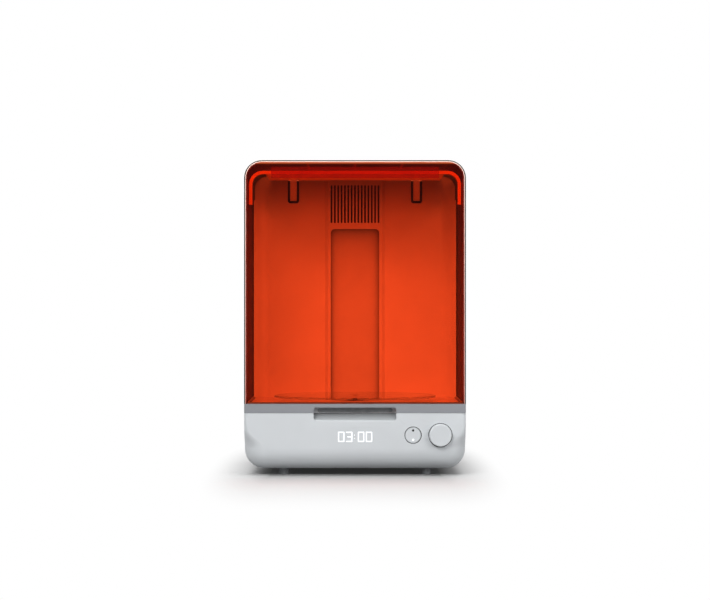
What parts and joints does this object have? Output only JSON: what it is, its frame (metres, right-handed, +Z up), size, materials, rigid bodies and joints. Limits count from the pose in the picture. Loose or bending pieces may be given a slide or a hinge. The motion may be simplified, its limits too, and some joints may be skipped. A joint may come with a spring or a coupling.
{
  "type": "dental lab light curing unit",
  "caption": "Bench light curing unit: amber hood hinged at the back over a lit chamber with a turntable, on a grey base with dial, button and timer display.",
  "frame": {"origin": "on the table, under the middle of the unit's bounding box", "axes": "+Z up, -Y towards the user (front), +X to the user's right"},
  "size_m": [0.272, 0.278, 0.387],
  "materials": {
    "base_plastic": "fine moulded light grey ABS",
    "band_plastic": "moulded mid grey ABS",
    "housing_plastic": "moulded dark grey ABS",
    "dark_plastic": "moulded dark grey ABS",
    "black_plastic": "moulded black nylon",
    "white_plastic": "white reflective moulding",
    "rubber": "soft grey rubber",
    "steel": "zinc plated steel",
    "aluminium": "plain aluminium",
    "brass": "turned brass",
    "circuit_board": "glass fibre board with green lacquer",
    "amber_acrylic": "transparent amber acrylic, polished",
    "canopy_acrylic": "amber acrylic with glowing edges",
    "diffuser_acrylic": "translucent red diffuser",
    "clear_acrylic": "clear acrylic, polished",
    "light_pipe": "clear light pipe, lit from behind"
  },
  "bodies": {
    "unit": {"base_shell": "base_plastic", "bottom_cover": "dark_plastic", "bottom_screws": "steel", "feet": "rubber", "chamber_floor": "white_plastic", "base_magnets": "steel", "hood_sensor": "circuit_board", "spine_shell": "housing_plastic", "rear_liner": "white_plastic", "duct_cover": "white_plastic", "lamp_canopy": "canopy_acrylic", "lamp_diffuser": "diffuser_acrylic", "canopy_light_board": "circuit_board", "rear_light_boards": "circuit_board", "rear_heat_sinks": "aluminium", "hinge_brackets": "steel", "hinge_pins": "steel", "friction_washers": "steel", "hinge_screws": "steel", "heater": "aluminium", "circulation_fan_frame": "black_plastic", "spindle_bush": "brass", "gear_motor": "steel", "display_module": "black_plastic", "control_board": "circuit_board", "encoder_case": "steel", "main_board": "circuit_board", "power_supply": "steel", "cooling_fan_frame": "black_plastic", "mains_inlet": "black_plastic", "inlet_pins": "brass", "rocker_frame": "black_plastic"},
    "hood": {"hood_shell": "amber_acrylic", "hood_frame": "band_plastic", "hood_seal": "rubber", "hood_magnets": "steel", "left_hinge_arm": "aluminium", "right_hinge_arm": "aluminium"},
    "turntable": {"turntable": "clear_acrylic", "turntable_hub": "dark_plastic", "drive_shaft": "steel"},
    "dial": {"dial": "base_plastic", "encoder_shaft": "steel"},
    "dial_plunger": {"encoder_plunger": "black_plastic"},
    "mode_button": {"mode_button": "base_plastic", "lit_spot": "light_pipe", "dark_spot": "black_plastic"},
    "circulation_rotor": {"circulation_rotor": "black_plastic"},
    "cooling_rotor": {"cooling_rotor": "black_plastic"},
    "power_rocker": {"power_rocker": "black_plastic"}
  },
  "joints": [
    {"name": "hood_hinge", "type": "hinge", "parent": "unit", "child": "hood", "pos_m": [0, 0.121, 0.369], "axis": [-1, 0, 0], "range_deg": [0, 70]},
    {"name": "turntable_spin", "type": "hinge", "parent": "unit", "child": "turntable", "pos_m": [0, -0.0218, 0.09], "axis": [0, 0, 1], "continuous": true},
    {"name": "dial_press", "type": "slide", "parent": "unit", "child": "dial_plunger", "axis": [0, 1, 0], "range_m": [0, 0.0005], "stiffness_N_per_m": 4000, "springref_m": -0.0003},
    {"name": "dial_spin", "type": "hinge", "parent": "dial_plunger", "child": "dial", "pos_m": [0.1047, -0.131, 0.05], "axis": [0, 1, 0], "continuous": true},
    {"name": "mode_button_press", "type": "slide", "parent": "unit", "child": "mode_button", "axis": [0, 1, 0], "range_m": [0, 0.0006], "stiffness_N_per_m": 2500, "springref_m": -0.0004},
    {"name": "circulation_fan_spin", "type": "hinge", "parent": "unit", "child": "circulation_rotor", "pos_m": [0, 0.089, 0.3417], "axis": [0, 1, 0], "continuous": true},
    {"name": "cooling_fan_spin", "type": "hinge", "parent": "unit", "child": "cooling_rotor", "pos_m": [0.062, 0.128, 0.053], "axis": [0, 1, 0], "continuous": true},
    {"name": "power_rocker_tilt", "type": "hinge", "parent": "unit", "child": "power_rocker", "pos_m": [-0.042, 0.134, 0.054], "axis": [1, 0, 0], "range_deg": [0, 20]}
  ]
}
